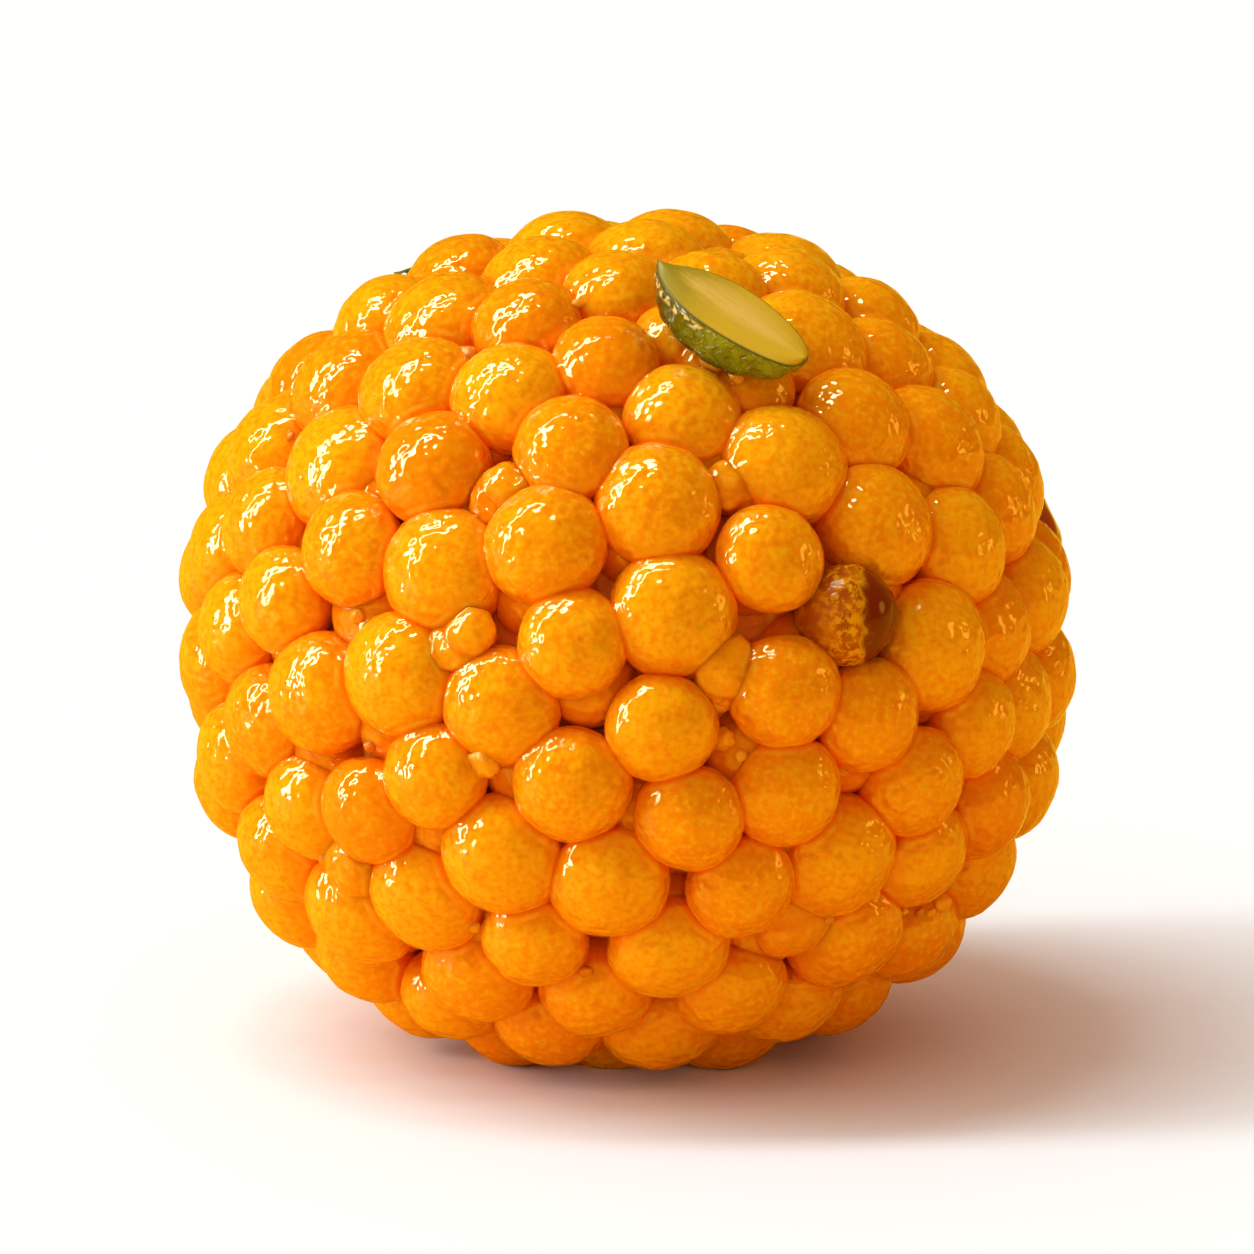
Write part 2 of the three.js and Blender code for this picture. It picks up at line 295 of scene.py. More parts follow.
# %% [markdown]
# ## Pressed together
# The hand that shapes the ball presses the soft pearls into each other, so each one is drawn a little
# larger than its solid. Its top stays where it is, and it grows inwards and sideways.

# %% Press the outer pearls
PRESSED = 1.12
pearl_radii = pearl_radii * np.where(pearl_kinds == "whole", PRESSED, 1)
pearl_centres = pearl_directions * (outline_radius(pearl_directions) - pearl_radii - pearl_sinks)[:, None]
print(f"the largest pearl is {2 * pearl_radii.max():.1f} mm across")

# %% [markdown]
# ## The pearls below
# Between the outer pearls the next layer shows. Its pearls lie on a smaller shell, by the same rule.

# %% The second layer of pearls
BELOW_COUNT = 148
BELOW_INSET = 3.0  # how far the tops of the second layer lie under the outline
BELOW_RADII = (2.5, 3.1)
BELOW_SHAKE = 0.1  # as a share of the shell's radius
below_dice = Dice(11)
shakes = np.array([below_dice.rolls(3, -BELOW_SHAKE, BELOW_SHAKE) for _ in range(BELOW_COUNT)])
below_radii = below_dice.rolls(BELOW_COUNT, *BELOW_RADII)
below_directions = unit(spiral_directions(BELOW_COUNT) + shakes)
below_directions = spread(below_directions, below_radii, np.zeros(BELOW_COUNT, bool), BELOW_INSET)
below_centres = below_directions * (outline_radius(below_directions) - below_radii - BELOW_INSET)[:, None]
print(BELOW_COUNT, "pearls below")

# %% [markdown]
# ## Broken pearls
# A broken pearl is two or more drops of batter that stuck together in the oil and came out as a small
# knot. Here it is two lobes side by side in the gap, each made the way a pearl is, but far more uneven.

# %% Lobes
LOBES = 2
LOBE_SHARE = (0.95, 1.15)  # a lobe's radius over its broken pearl's
LOBES_APART = 0.7  # how far a lobe lies from its broken pearl's middle
LOBE_SINK = 0.965  # lobes lie a little nearer the ball's centre than their broken pearl
LOBE_TONE = (0.2, 0.4)  # the least tone of a lobe, and how much its pearl's own adds
BROKEN_SHAPE = {"Squeeze": 0.16, "Lump height": 0.32 * MM, "Lump size": 1.1 * MM}
lobe_dice = Dice(17)
whole = pearl_kinds != "broken"
pearl_tones = Dice(29).rolls(len(pearl_radii))
lobe_rows = []
for centre, radius, tone in zip(pearl_centres[~whole], pearl_radii[~whole], pearl_tones[~whole]):
    for _ in range(LOBES):
        lobe = radius * lobe_dice.roll(*LOBE_SHARE)
        aside = unit(lobe_dice.rolls(3, -1, 1)) * LOBES_APART
        lobe_rows.append([*(centre * LOBE_SINK + aside), lobe, LOBE_TONE[0] + tone * LOBE_TONE[1]])
lobes = np.array(lobe_rows)
print(len(lobes), "lobes in", int((~whole).sum()), "broken pearls")

# %% [markdown]
# ## Helpers for meshes
# One makes a piece from plain points, faces and named numbers, which the materials can read later.
# Another takes the points of a sphere from the six sides of a cube, which spreads them far more evenly
# than rings and poles do.

# %% Pieces from points
def add_number(mesh, label, values):
    """Gives every point of a mesh a number of its own."""
    mesh.attributes.new(label, "FLOAT", "POINT").data.foreach_set("value", values.astype(np.float32))


def mesh_piece(name, points, faces, **numbers):
    """A smooth piece from points in millimetres, with one number a point for each name given."""
    mesh = bpy.data.meshes.new(name)
    mesh.from_pydata(((points + [0, 0, CENTRE_Z]) * MM).tolist(), [], faces)
    mesh.polygons.foreach_set("use_smooth", np.ones(len(mesh.polygons), bool))
    for label, values in numbers.items():
        add_number(mesh, label, values)
    mesh.update()
    piece = bpy.data.objects.new(name, mesh)
    bpy.context.scene.collection.objects.link(piece)
    return piece


def mesh_points(mesh):
    """A mesh's points in millimetres round the ball's centre."""
    points = np.empty(len(mesh.vertices) * 3)
    mesh.vertices.foreach_get("co", points)
    return points.reshape(-1, 3) / MM - [0, 0, CENTRE_Z]


def triangles(piece):
    """How many triangles a piece has."""
    return sum(len(face.vertices) - 2 for face in piece.data.polygons)


print("pieces can be made from points")

# %% A sphere from a cube
def cube_sphere(facets):
    """Unit points and four-sided faces of a sphere, with so many faces along each edge of a cube."""
    steps = np.tan(np.linspace(-math.pi / 4, math.pi / 4, facets + 1))
    u, v = np.meshgrid(steps, steps, indexing="ij")
    sides = []
    for axis in range(3):
        for sign in (1, -1):
            side = np.empty((facets + 1, facets + 1, 3))
            side[..., axis] = sign
            side[..., (axis + 1) % 3] = u * sign
            side[..., (axis + 2) % 3] = v
            sides.append(side.reshape(-1, 3))
    grid = np.arange((facets + 1) ** 2).reshape(facets + 1, facets + 1)
    squares = np.stack([grid[:-1, :-1], grid[1:, :-1], grid[1:, 1:], grid[:-1, 1:]], -1).reshape(-1, 4)
    faces = np.concatenate([squares + i * (facets + 1) ** 2 for i in range(6)])
    points = unit(np.concatenate(sides))
    _, first, merged = np.unique(points.round(6), axis=0, return_index=True, return_inverse=True)
    return points[first], merged.reshape(-1)[faces].tolist()


print("a cube sphere of 9 has", len(cube_sphere(9)[0]), "points")

# %% [markdown]
# ## Node trees written as sums
# Node trees are easier to read as sums than as boxes and wires. A `Link` is a node's output, and adding
# or multiplying links makes the Math nodes. A `Tree` makes any other node from its type, its settings
# and what goes into it, and writes materials and Geometry Nodes alike. A `Finish` is the tree of one
# material. Its sizes are in millimetres, as everywhere here.

# %% Links
class Link:
    """A node's output. Sums and products of links add the Math nodes that work them out."""

    def __init__(self, tree, socket):
        self.tree = tree
        self.socket = socket

    def __add__(self, other):
        return self.tree.math("ADD", self, other)

    def __sub__(self, other):
        return self.tree.math("SUBTRACT", self, other)

    def __rsub__(self, other):
        return self.tree.math("SUBTRACT", other, self)

    def __mul__(self, other):
        return self.tree.math("MULTIPLY", self, other)

    def __rtruediv__(self, other):
        return self.tree.math("DIVIDE", other, self)

    __radd__ = __add__
    __rmul__ = __mul__


print("links add, subtract, multiply and divide")

# %% Trees
class Tree:
    """A tree of nodes, which may be a material's or a Geometry Nodes group's."""

    def __init__(self, tree):
        self.tree = tree

    def node(self, kind, settings=None, inputs=None, out=0):
        """Adds a node: first its settings, then a value or a link for each input."""
        made = self.tree.nodes.new(kind)
        for setting, value in (settings or {}).items():
            setattr(made, setting, value)
        for key, value in (inputs or {}).items():
            self.feed(made.inputs[key], value)
        return Link(self, made.outputs[out])

    def feed(self, socket, value):
        if isinstance(value, Link):
            self.tree.links.new(value.socket, socket)
        else:
            socket.default_value = value

    def math(self, operation, *values):
        return self.node("ShaderNodeMath", {"operation": operation}, dict(enumerate(values)))

    def vector(self, operation, *values):
        return self.node("ShaderNodeVectorMath", {"operation": operation}, dict(enumerate(values)))

    def scaled(self, vector, factor):
        """A vector times a number."""
        inputs = {"Vector": vector, "Scale": factor}
        return self.node("ShaderNodeVectorMath", {"operation": "SCALE"}, inputs)

    def noise(self, place, scale, detail):
        return self.node("ShaderNodeTexNoise", None, {"Vector": place, "Scale": scale, "Detail": detail})

    def mix(self, share, start, end):
        """A colour between two others."""
        return self.node("ShaderNodeMix", {"data_type": "RGBA"}, {0: share, 6: start, 7: end}, 2)

    def step(self, value, low, high):
        """0 at low, 1 at high, and a smooth rise between them."""
        inputs = {"Value": value, "From Min": low, "From Max": high}
        return self.node("ShaderNodeMapRange", {"interpolation_type": "SMOOTHSTEP"}, inputs)

    def grain(self, place, size, detail=2.0, roughness=0.5):
        """Soft noise from 0 to 1, with patches of about this size in millimetres."""
        inputs = {"Vector": place, "Scale": 1 / (size * MM), "Detail": detail, "Roughness": roughness}
        return self.node("ShaderNodeTexNoise", None, inputs)

    def cells(self, place, size, feature="F1", randomness=1.0):
        """How far each spot is from the middle of its cell, or from its edge, in cell widths."""
        inputs = {"Vector": place, "Scale": 1 / (size * MM), "Randomness": randomness}
        return self.node("ShaderNodeTexVoronoi", {"feature": feature}, inputs, "Distance")


print("trees are ready")

# %% Finishes
class Finish(Tree):
    """A material with one Principled shader."""

    def __init__(self, name, **constants):
        self.material = bpy.data.materials.new(name)
        self.material.use_nodes = True
        super().__init__(self.material.node_tree)
        self.shader = self.tree.nodes["Principled BSDF"]
        self.shader.subsurface_method = "BURLEY"
        for key, value in constants.items():
            self.shader.inputs[key.replace("_", " ")].default_value = value

    def place(self):
        return self.node("ShaderNodeTexCoord", out="Object")

    def number(self, label):
        """A number that the piece's points carry."""
        return self.node("ShaderNodeAttribute", {"attribute_name": label}, out="Fac")

    def paint(self, label, value):
        self.feed(self.shader.inputs[label], value)

    def relief(self, height):
        """Raises the surface by a height in millimetres."""
        self.paint("Normal", self.node("ShaderNodeBump", None, {"Height": height, "Distance": MM}))


print("finishes are ready")

# %% [markdown]
# ## The skin of a pearl
# A soaked boondi pearl is translucent, so light goes about a millimetre into it and comes out redder.
# Its fried skin has short soft waves, and the syrup over it is as glossy as glass: that is why its
# highlight is a row of small bright dashes and not one clean spot. Scattering and reflection are the
# same all over, so they are plain numbers on the shader. Colour follows the pearl's own tone and a mottle,
# and painted light follows how near the next pearl is and how deep in the ball a spot lies. Along the line
# where two pearls meet, syrup gathers and rounds the corner off. The colour darkens towards the seam,
# partly the thicker syrup's own colour and partly painted shade, and a thin painted highlight runs beside
# it. Deeper in the ball the colour turns darker and redder, also partly the syrup's and partly painted
# shade.

# %% Colours of fried batter and syrup
SCATTER = {
    "Subsurface_Weight": 0.7,
    "Subsurface_Radius": (1.0, 0.34, 0.05),
    "Subsurface_Scale": 1.0 * MM,
    "IOR": 1.7,
    "Specular_IOR_Level": 1.0,
    "Specular_Tint": (1.0, 0.91, 0.42, 1),
}
PEARL_PALE = (0.96, 0.44, 0.003, 1)
PEARL_RICH = (0.92, 0.29, 0.002, 1)
PEARL_FLECK = (0.98, 0.50, 0.01, 1)
PEARL_BROWN = (0.90, 0.20, 0.001, 1)
# painted highlight: the thin bright line beside each seam
SEAM_EDGE_HIGHLIGHT = (1.0, 0.62, 0.03, 1)
# darker towards a seam: partly the thicker syrup's colour, partly painted shade
SEAM_SYRUP_AND_SHADE = (0.78, 0.17, 0.001, 1)
# deep in the ball: partly the syrup's darker colour, partly painted shade
DEEP_SYRUP_AND_SHADE = (0.96, 0.19, 0.001, 1)
WAVE_SIZE = 0.68
WAVE_DETAIL = 0.7
WAVE_HEIGHT = 0.2
FILLET = 0.12  # how high syrup stands in the seam between two pearls


def skin_relief(finish, place, fillet=0.0):
    """The fried skin's short soft waves, and what stands on them, in millimetres."""
    finish.relief(finish.grain(place, WAVE_SIZE, WAVE_DETAIL) * WAVE_HEIGHT + fillet)


print("the skin's waves are", WAVE_SIZE, "mm long")

# %% The pearls' finish
def pearl_finish():
    finish = Finish("soaked pearl skin", **SCATTER)
    place = finish.place()
    tone = finish.number("tone")
    mottle = finish.grain(place, 1.1, 2.0, 0.6)
    fine = finish.grain(place, 0.35, 1.0)
    # Batter: pale and rich patches with fine specks, and a few pearls that fried browner.
    colour = finish.mix(finish.step(mottle * 0.7 + tone * 0.3, 0.3, 0.75), PEARL_PALE, PEARL_RICH)
    colour = finish.mix(finish.step(fine, 0.5, 0.32) * 0.45, colour, PEARL_BROWN)
    colour = finish.mix(finish.step(fine, 0.53, 0.69) * 0.7, colour, PEARL_FLECK)
    colour = finish.mix(finish.step(tone, 0.9, 1.0) * 0.5, colour, PEARL_BROWN)
    # Syrup and painted light: a painted highlight beside each seam, darker towards the seam (thicker syrup
    # and painted shade), and darker, redder deep in the ball (syrup and painted shade).
    seam = finish.number("seam")
    seam_edge_highlight = finish.step(seam, 0.12, 0.3) * (1 - finish.step(seam, 0.38, 0.6))
    colour = finish.mix(seam_edge_highlight * finish.step(mottle, 0.4, 0.65) * 0.7, colour, SEAM_EDGE_HIGHLIGHT)
    # painted shade towards the seam, partly the thicker syrup's own colour
    shade = finish.step(seam, 1.6, 0.0) * 0.4 + finish.step(seam, 0.4, 0.0) * 0.4
    colour = finish.mix(shade, colour, SEAM_SYRUP_AND_SHADE)
    sunk_shade = finish.step(finish.number("depth"), 0.9, 4.8)
    colour = finish.mix(sunk_shade * 0.9, colour, DEEP_SYRUP_AND_SHADE)
    finish.paint("Base Color", colour)
    finish.paint("Roughness", 0.03 + mottle * 0.05)
    skin_relief(finish, place, finish.step(seam, 0.6, 0.0) * FILLET)
    return finish.material


PEARL_SKIN = pearl_finish()
print("finish:", PEARL_SKIN.name)

# %% The syrup's finish
def syrup_finish():
    finish = Finish("set syrup", **SCATTER)
    place = finish.place()
    mottle = finish.grain(place, 0.9, 2.0, 0.6)
    # Painted shade: darker and redder with depth, partly the syrup's own colour.
    sunk_shade = finish.step(finish.number("depth"), 1.4, 4.6)
    colour = finish.mix(finish.step(sunk_shade + mottle * 0.3, 0.1, 1.1), PEARL_RICH, DEEP_SYRUP_AND_SHADE)
    finish.paint("Base Color", colour)
    finish.paint("Roughness", 0.2 + mottle * 0.3)
    skin_relief(finish, place)
    return finish.material


SYRUP = syrup_finish()
print("finish:", SYRUP.name)

# %% [markdown]
# ## Pearls from Geometry Nodes
# Hundreds of pearls are one shape repeated, so a Geometry Nodes tree puts a ball on each point, as large
# as that point's radius, and turns and squeezes each one a little differently. The ball is a cube whose
# points are drawn onto a sphere. Once the copies are real, noise moves their points in and out, which
# makes every pearl lumpy in its own way. Whatever would reach under the table is pressed level, as the
# foot of the real ball is.

# %% Open and close a Geometry Nodes group
def group_input(tree, label, kind, value=None):
    """Adds a named input to a Geometry Nodes group."""
    socket = tree.tree.interface.new_socket(name=label, in_out="INPUT", socket_type=kind)
    if value is not None:
        socket.default_value = value
    return socket.identifier


def new_group(name, inputs):
    """A Geometry Nodes group with its inputs: the tree, a link for each input and their identifiers."""
    tree = Tree(bpy.data.node_groups.new(name, "GeometryNodeTree"))
    names = {label: group_input(tree, label, *kind) for label, kind in inputs.items()}
    tree.tree.interface.new_socket(name="Geometry", in_out="OUTPUT", socket_type="NodeSocketGeometry")
    start = tree.tree.nodes.new("NodeGroupInput")
    links = {label: Link(tree, start.outputs[label]) for label in inputs}
    return tree, links, names


def close_group(tree, geometry, material):
    """Ends a group: smooth faces and their material."""
    smooth = tree.node("GeometryNodeSetShadeSmooth", None, {"Geometry": geometry})
    finished = tree.node("GeometryNodeSetMaterial", None, {"Geometry": smooth, "Material": material})
    end = tree.tree.nodes.new("NodeGroupOutput")
    tree.feed(end.inputs["Geometry"], finished)


print("groups can be opened and closed")

# %% Nodes that the groups share
def named(tree, label, kind="FLOAT"):
    """A number or a vector that the points carry, inside Geometry Nodes."""
    return tree.node("GeometryNodeInputNamedAttribute", {"data_type": kind}, {"Name": label})


def random_vector(tree, low, high, seed):
    """Three random numbers for each point, each between low and high."""
    inputs = {0: low, 1: high, "Seed": seed}
    return tree.node("FunctionNodeRandomValue", {"data_type": "FLOAT_VECTOR"}, inputs)


def moved(tree, geometry, height):
    """Geometry whose points are moved out along their normals."""
    offset = tree.scaled(tree.node("GeometryNodeInputNormal"), height)
    return tree.node("GeometryNodeSetPosition", None, {"Geometry": geometry, "Offset": offset})


def copies_on(tree, points, shape, turn, stretch):
    """Real copies of a shape on points, as large as each point's radius."""
    size = tree.scaled(stretch, named(tree, "radius"))
    inputs = {"Points": points, "Instance": shape, "Rotation": turn, "Scale": size}
    copies = tree.node("GeometryNodeInstanceOnPoints", None, inputs)
    return tree.node("GeometryNodeRealizeInstances", None, {"Geometry": copies})


print("shapes can be copied onto points, turned, stretched and made uneven")

# %% A tree that puts pearls on points
FULL_TURN = 6.28  # in radians
PEARL_INPUTS = {
    "Points": ("NodeSocketGeometry",),
    "Facets": ("NodeSocketInt", 9),
    "Squeeze": ("NodeSocketFloat", 0.035),
    "Lump height": ("NodeSocketFloat", 0.16 * MM),
    "Lump size": ("NodeSocketFloat", 1.9 * MM),
    "Seed": ("NodeSocketInt", 3),
    "Skin": ("NodeSocketMaterial",),
}


def round_cube(tree, facets):
    """A sphere of radius 1 made of a cube's six sides, each with so many faces along its edge."""
    side = facets + 1
    sizes = {"Size": (2, 2, 2), "Vertices X": side, "Vertices Y": side, "Vertices Z": side}
    cube = tree.node("GeometryNodeMeshCube", None, sizes)
    spot = tree.node("GeometryNodeInputPosition")
    even = tree.vector("TANGENT", tree.vector("MULTIPLY", spot, (math.pi / 4,) * 3))
    drawn = tree.vector("NORMALIZE", even)
    return tree.node("GeometryNodeSetPosition", None, {"Geometry": cube, "Position": drawn})


def pearl_group():
    tree, given, names = new_group("pearls on points", PEARL_INPUTS)
    ball = round_cube(tree, given["Facets"])
    turn = random_vector(tree, (0, 0, 0), (FULL_TURN,) * 3, given["Seed"])
    stretch = random_vector(tree, 1 - given["Squeeze"], 1 + given["Squeeze"], given["Seed"] + 1)
    real = copies_on(tree, given["Points"], ball, turn, stretch)
    spot = tree.node("GeometryNodeInputPosition")
    lump = tree.noise(spot, 1 / given["Lump size"], 1.0)
    lumpy = moved(tree, real, (lump - 0.5) * 2 * given["Lump height"])
    level = tree.vector("MAXIMUM", spot, (-1, -1, 0))
    pressed = tree.node("GeometryNodeSetPosition", None, {"Geometry": lumpy, "Position": level})
    close_group(tree, pressed, given["Skin"])
    return tree.tree, names


PEARL_GROUP, PEARL_NAMES = pearl_group()
print("the pearl tree has", len(PEARL_GROUP.nodes), "nodes")

# %% Run a group on points
def grow(points, group, names, values):
    """Runs a Geometry Nodes group on points and keeps the result as a plain mesh."""
    modifier = points.modifiers.new("grow", "NODES")
    modifier.node_group = group
    for label, value in values.items():
        modifier[names[label]] = value
    graph = bpy.context.evaluated_depsgraph_get()
    grown = points.evaluated_get(graph)
    mesh = bpy.data.meshes.new_from_object(grown, preserve_all_data_layers=True, depsgraph=graph)
    points.modifiers.clear()
    points.data = mesh


print("groups can be run on points")

# %% [markdown]
# ## What the palm does
# The palm that rounds the ball flattens the tops of the pearls, so that the outline is nearly smooth
# while the gaps stay. Every point moves along its direction from the ball's centre: the outer three
# millimetres are pressed to three quarters of their height. What each point's depth under the outline
# is then, its mesh remembers for the finish.

# %% Press by hand
PALM_REACH = 3.0  # how deep the palm's pressure reaches
PALM_SHARE = 0.75  # what it leaves of a height within that reach


def press_by_hand(piece):
    """Flattens the outer pearls under the ball's outline, and gives every point its depth below it."""
    points = mesh_points(piece.data)
    ways = unit(points)
    depth = outline_radius(ways) - np.linalg.norm(points, axis=1)
    depth -= (1 - PALM_SHARE) * np.clip(depth, 0, PALM_REACH)
    points = ways * (outline_radius(ways) - depth)[:, None]
    points[:, 2] = np.maximum(points[:, 2], -CENTRE_Z)
    piece.data.vertices.foreach_set("co", ((points + [0, 0, CENTRE_Z]) * MM).reshape(-1))
    add_number(piece.data, "depth", depth)
    piece.data.update()


def belongs(piece, slot, *nodes):
    """Says what a piece rides on and which solids it stands for; its slot, what it is finished like, is not
    used.
    """
    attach(piece, BODY)
    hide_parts(*nodes)
    print(f"{piece.name}: {triangles(piece)} triangles")


print(f"the palm presses {PALM_REACH} mm of pearl to {PALM_REACH * PALM_SHARE} mm")

# %% [markdown]
# ## Seams
# A material can't know where the next pearl is, so the mesh tells it. Every point of a pearl gets its
# distance to the surface of the nearest other pearl, whichever piece that one belongs to.

# %% Distance to the next pearl
all_places = np.vstack([pearl_centres[whole], below_centres, lobes[:, :3]])
all_radii = np.concatenate([pearl_radii[whole], below_radii, lobes[:, 3]])
NEIGHBOUR_REACH = 4 * PEARL_RADIUS_LARGEST


def add_seams(piece, places):
    """Gives every point of every pearl its distance in millimetres from the nearest other pearl."""
    seams = []
    for place, points in zip(places, mesh_points(piece.data).reshape(len(places), -1, 3)):
        apart = np.linalg.norm(all_places - place, axis=1)
        others = (apart > 0) & (apart < NEIGHBOUR_REACH)
        gaps = np.linalg.norm(points[:, None] - all_places[others], axis=2) - all_radii[others]
        seams.append(gaps.min(axis=1))
    add_number(piece.data, "seam", np.concatenate(seams))


print(len(all_radii), "pearls and lobes in all")

# %% Put the pearls in their places
BELOW_FACETS = 7
BELOW_TONE = 0.9


def pearl_piece(name, places, radii, tones, **values):
    """One piece of pearls, grown on their places."""
    piece = mesh_piece(name, places, [], radius=radii * MM, tone=tones)
    grow(piece, PEARL_GROUP, PEARL_NAMES, {"Skin": PEARL_SKIN, **values})
    add_seams(piece, places)
    press_by_hand(piece)
    belongs(piece, "boondi", "ladoo_ball")


below_tones = below_dice.rolls(BELOW_COUNT) * BELOW_TONE
pearl_piece("pearls_whole", pearl_centres[whole], pearl_radii[whole], pearl_tones[whole])
pearl_piece("pearls_below", below_centres, below_radii, below_tones, Facets=BELOW_FACETS)
pearl_piece("pearls_broken", lobes[:, :3], lobes[:, 3], lobes[:, 4], **BROKEN_SHAPE)

# %% [markdown]
# ## The syrup that holds it together
# Behind the second layer the ball is solid: more pearls, drowned in set syrup. One lumpy core stands
# for them, dark partly from the syrup and partly from painted shade. It is a cube sphere, pushed in and out
# by noise, and only shows at the bottom of a gap.

# %% The core
CORE_FACETS = 40
CORE_DEPTH = 5.0
CORE_BUMP = 0.5
CORE_BUMPS_ACROSS = 7  # how often the bumps change along the ball's radius
CORE_CLEARANCE = 0.2  # how far the core stays above the table
core_directions, core_faces = cube_sphere(CORE_FACETS)
core_bumps = np.array([noise.noise(Vector(way) * CORE_BUMPS_ACROSS) for way in core_directions]) * CORE_BUMP
core_points = core_directions * (outline_radius(core_directions) - CORE_DEPTH + core_bumps)[:, None]
core_points[:, 2] = np.maximum(core_points[:, 2], CORE_CLEARANCE - CENTRE_Z)
core = mesh_piece("syrup_core", core_points, core_faces)
core.data.materials.append(SYRUP)
press_by_hand(core)
belongs(core, "boondi", "ladoo_ball")

# %% [markdown]
# ## Crumbs
# Frying leaves crumbs: small uneven bits, yellower or browner than the pearls, caught in the gaps. Each
# is one pebble that a second tree copies, turned to point where its point says and then made uneven by
# strong noise.

# %% A tree that puts crumbs on points
CRUMB_LEAST = 0.75  # how much a crumb may be squeezed along an axis
CRUMB_MOST = 1.2  # and how much stretched
CHIP_SIZE = 0.55 * MM
CRUMB_INPUTS = {
    "Points": ("NodeSocketGeometry",),
    "Roughness": ("NodeSocketFloat", 0.6),
    "Seed": ("NodeSocketInt", 5),
    "Skin": ("NodeSocketMaterial",),
}


def crumb_group():
    tree, given, names = new_group("crumbs on points", CRUMB_INPUTS)
    pebble = tree.node("GeometryNodeMeshIcoSphere", None, {"Radius": 1.0, "Subdivisions": 3})
    aim = named(tree, "aim", "FLOAT_VECTOR")
    turn = tree.node("FunctionNodeAlignRotationToVector", {"axis": "Z"}, {"Vector": aim})
    stretch = random_vector(tree, (CRUMB_LEAST,) * 3, (CRUMB_MOST,) * 3, given["Seed"])
    real = copies_on(tree, given["Points"], pebble, turn, stretch)
    chips = tree.noise(tree.node("GeometryNodeInputPosition"), 1 / CHIP_SIZE, 2.0)
    rough = moved(tree, real, (chips - 0.5) * 2 * given["Roughness"] * named(tree, "radius"))
    close_group(tree, rough, given["Skin"])
    return tree.tree, names


CRUMB_GROUP, CRUMB_NAMES = crumb_group()
print("the crumb tree has", len(CRUMB_GROUP.nodes), "nodes")

# %% Crumb finish
CRUMB_PALE = (0.95, 0.42, 0.005, 1)
CRUMB_BROWN = (0.70, 0.19, 0.002, 1)


def crumb_finish():
    finish = Finish("fried crumb", **{**SCATTER, "Subsurface_Weight": 0.3})
    place = finish.place()
    patch = finish.grain(place, 0.5, 3.0, 0.6)
    browned = finish.step(finish.number("tone") + patch * 0.5, 0.5, 1.2)
    finish.paint("Base Color", finish.mix(browned, CRUMB_PALE, CRUMB_BROWN))
    finish.paint("Roughness", 0.25 + patch * 0.25)
    skin_relief(finish, place)
    return finish.material


CRUMB = crumb_finish()
print("finish:", CRUMB.name)

# %% [markdown]
# Crumbs go where a random direction ends in a gap: under the pearls' tops, but not at the bottom. A few
# larger ones have a place of their own at the front.

# %% Where crumbs lie
CRUMB_COUNT = 60
CRUMB_DEPTHS = (2.0, 3.6)
CRUMB_RADII = (0.25, 0.55)
CRUMB_CLEARANCE = 1  # from a nut or a raisin
FRONT_CRUMBS = [(-109.2, -4.6, 1.0), (-70.1, 53.4, 0.7), (-76.3, -2.0, 0.7), (-66, 50, 0.5)]
FRONT_TONES = (0, 0.3)


def clear_of_toppings(point, margin):
    """Whether a spot is away from every nut and raisin."""
    for name, topping in TOPPINGS.items():
        axes, origin = topping_place(name)
        local = (point - origin + axes[2] * topping["size"]["depth"] / 2) @ axes.T
        half = np.array([topping["size"][side] / 2 for side in ("length", "width", "depth")]) + margin
        if (local**2 / half**2).sum() < 1:
            return False
    return True


def surface_at(direction):
    """Where a direction leaves the last pearl that it meets."""
    centres = np.vstack([pearl_centres, below_centres])
    radii = np.append(pearl_radii, below_radii)
    along = centres @ direction
    square = along**2 - (centres**2).sum(axis=1) + radii**2
    reach = np.where(square > 0, along + np.sqrt(np.maximum(square, 0)), 0).max()
    return direction * max(reach, outline_radius(direction) - CORE_DEPTH)


print("crumbs lie", CRUMB_DEPTHS, "mm deep")

# %% Make the crumbs
crumb_dice = Dice(41)
crumb_rows = []
for around, up, radius in FRONT_CRUMBS:
    spot = surface_at(direction_at(around, up))
    crumb_rows.append((spot, radius, crumb_dice.roll(*FRONT_TONES), crumb_dice.rolls(3, -1, 1)))
while len(crumb_rows) < CRUMB_COUNT:
    direction = unit(crumb_dice.rolls(3, -1, 1))
    spot = surface_at(direction)
    depth = outline_radius(direction) - np.linalg.norm(spot)
    if CRUMB_DEPTHS[0] < depth < CRUMB_DEPTHS[1] and clear_of_toppings(spot, CRUMB_CLEARANCE):
        radius = crumb_dice.roll(*CRUMB_RADII)
        crumb_rows.append((spot, radius, crumb_dice.roll(), crumb_dice.rolls(3, -1, 1)))
spots, radii, tones, aims = (np.array(column, float) for column in zip(*crumb_rows))
crumbs = mesh_piece("crumbs", spots, [], radius=radii * MM, tone=tones)
crumbs.data.attributes.new("aim", "FLOAT_VECTOR", "POINT").data.foreach_set("vector", aims.reshape(-1))
grow(crumbs, CRUMB_GROUP, CRUMB_NAMES, {"Skin": CRUMB})
press_by_hand(crumbs)
belongs(crumbs, "boondi", "ladoo_ball")

# %% [markdown]
# ## The pistachio halves
# A pistachio kernel splits into halves with one nearly flat cut face and one rounded back, which bulges
# out past the face. The cut face is cream and golden in the middle, olive towards the tip and closed by a
# thin dark line, and the skin round the back is green, wrinkled and glossy with syrup. One end is pointed
# and the other blunt. Sections across the kernel follow from one rule each for its width and its depth.
# Every point remembers how far it is from the rim, which side it is on, and where it lies along and
# across the kernel, so that the finish can follow the kernel's own zones.

# %% Kernel sections
CUT_CROWN = 0.35  # how far the cut face falls off towards the tips
EDGE_CROWN = 0.12  # and how far towards its long edges, at the middle
KERNEL_STATIONS = 90
SECTION_POINTS = 96
HALF_SECTION = SECTION_POINTS // 2
ROUNDING_PASSES = 5
BULGE = 0.75  # how far the back reaches out past the face, as a share of half its width


